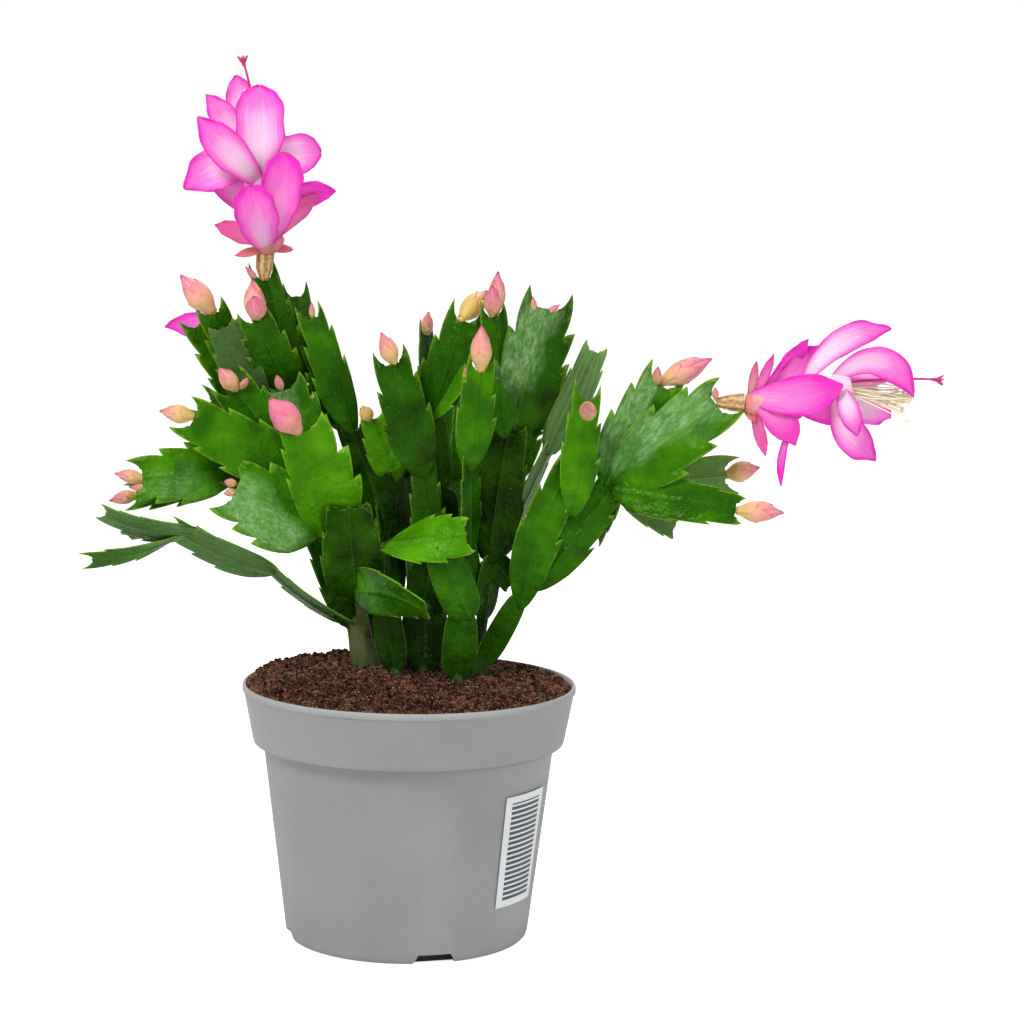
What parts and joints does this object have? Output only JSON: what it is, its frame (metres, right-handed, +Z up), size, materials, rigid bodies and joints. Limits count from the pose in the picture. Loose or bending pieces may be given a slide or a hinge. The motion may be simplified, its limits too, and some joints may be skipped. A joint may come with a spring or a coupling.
{
  "type": "potted christmas cactus",
  "caption": "Potted christmas cactus with flat toothed segments, flower buds and tiered pink blooms in a tapered nursery pot with a rim band.",
  "frame": {"origin": "centre of the pot's foot, on the surface that it stands on", "axes": "+Z up, +X to the right as the picture shows the plant, -Y towards the viewer"},
  "size_m": [0.306, 0.1697, 0.3146],
  "materials": {
    "pot_plastic": "matte moulded",
    "label_paper": "smooth",
    "peat": "rough fibrous",
    "segment_green": "waxy gloss",
    "bud_peach": "satin",
    "ovary_tan": "satin",
    "petal_pink": "silky",
    "style_magenta": "satin",
    "stamen_cream": "satin"
  },
  "bodies": {
    "root": {"pot": "pot_plastic", "label": "label_paper", "soil": "peat", "stem_left": "segment_green", "stem_back_left": "segment_green", "stem_middle": "segment_green", "stem_centre": "segment_green", "stem_front": "segment_green", "stem_centre_right": "segment_green", "stem_right": "segment_green", "bud_left_1": "bud_peach", "bud_left_2": "bud_peach", "bud_left_3": "bud_peach", "bud_left_4": "bud_peach", "bud_left_5": "bud_peach", "bud_left_6": "bud_peach", "bud_left_7": "bud_peach", "bud_left_8": "bud_peach", "bud_left_9": "bud_peach", "bud_left_10": "bud_peach", "bud_back_1": "bud_peach", "bud_back_2": "bud_peach", "bud_back_3": "bud_peach", "bud_back_4": "bud_peach", "bud_middle_1": "bud_peach", "bud_middle_2": "bud_peach", "bud_centre_1": "bud_peach", "bud_centre_2": "bud_peach", "bud_centre_3": "bud_peach", "bud_centre_4": "bud_peach", "bud_centre_right_1": "bud_peach", "bud_centre_right_2": "bud_peach", "bud_centre_right_3": "bud_peach", "bud_centre_right_4": "bud_peach", "bud_centre_right_5": "bud_peach", "bud_right_1": "bud_peach", "bud_right_2": "bud_peach", "bud_right_3": "bud_peach", "bud_right_4": "bud_peach", "bud_right_5": "bud_peach", "bud_right_6": "bud_peach", "bloom_top_ovary": "ovary_tan", "bloom_top_petals": "petal_pink", "bloom_top_style": "style_magenta", "bloom_top_stamens": "stamen_cream", "bloom_right_ovary": "ovary_tan", "bloom_right_petals": "petal_pink", "bloom_right_style": "style_magenta", "bloom_right_stamens": "stamen_cream", "bloom_back_ovary": "ovary_tan", "bloom_back_petals": "petal_pink", "bloom_back_style": "style_magenta", "bloom_back_stamens": "stamen_cream"}
  },
  "joints": []
}
